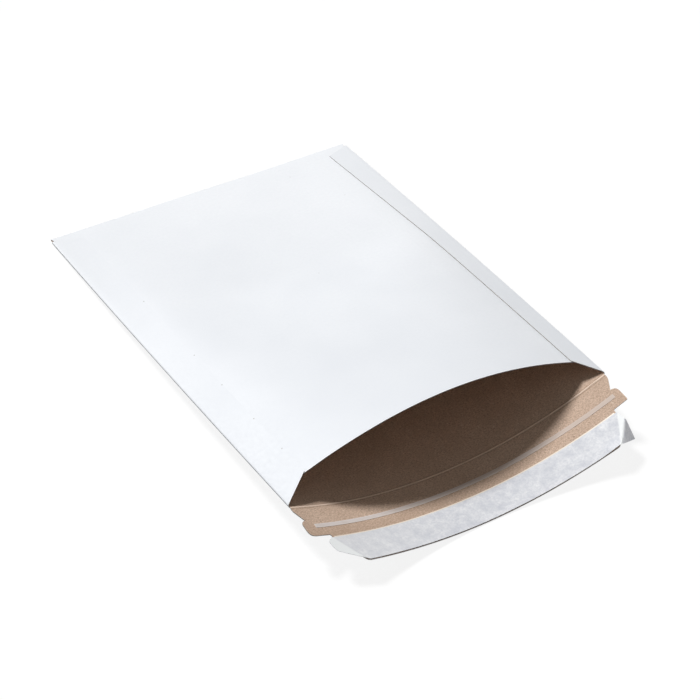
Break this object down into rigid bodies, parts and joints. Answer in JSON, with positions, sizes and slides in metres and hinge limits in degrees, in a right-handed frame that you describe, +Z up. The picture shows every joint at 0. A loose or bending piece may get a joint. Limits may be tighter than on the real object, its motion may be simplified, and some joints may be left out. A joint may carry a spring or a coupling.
{
  "type": "rigid board mailer",
  "caption": "Flat board mailing envelope, white outside and brown inside, bowed open at the mouth, with a self-seal flap, tear tape and release liner.",
  "frame": {"origin": "middle of the pack's box at the surface it lies on", "axes": "+Z up from the back panel to the front panel, +Y along the pack from the mouth and flap to the closed end, +X to the right for someone who looks in at the mouth"},
  "size_m": [0.2408, 0.3658, 0.0554],
  "materials": {
    "white_board": "smooth white coating outside, plain brown kraft inside",
    "tear_tape": "thin milky film",
    "adhesive": "clear cream film",
    "liner_paper": "smooth coated paper"
  },
  "bodies": {
    "root": {"mailer_body": "white_board", "tear_strip": "tear_tape", "adhesive_strip": "adhesive", "release_liner": "liner_paper"}
  },
  "joints": []
}
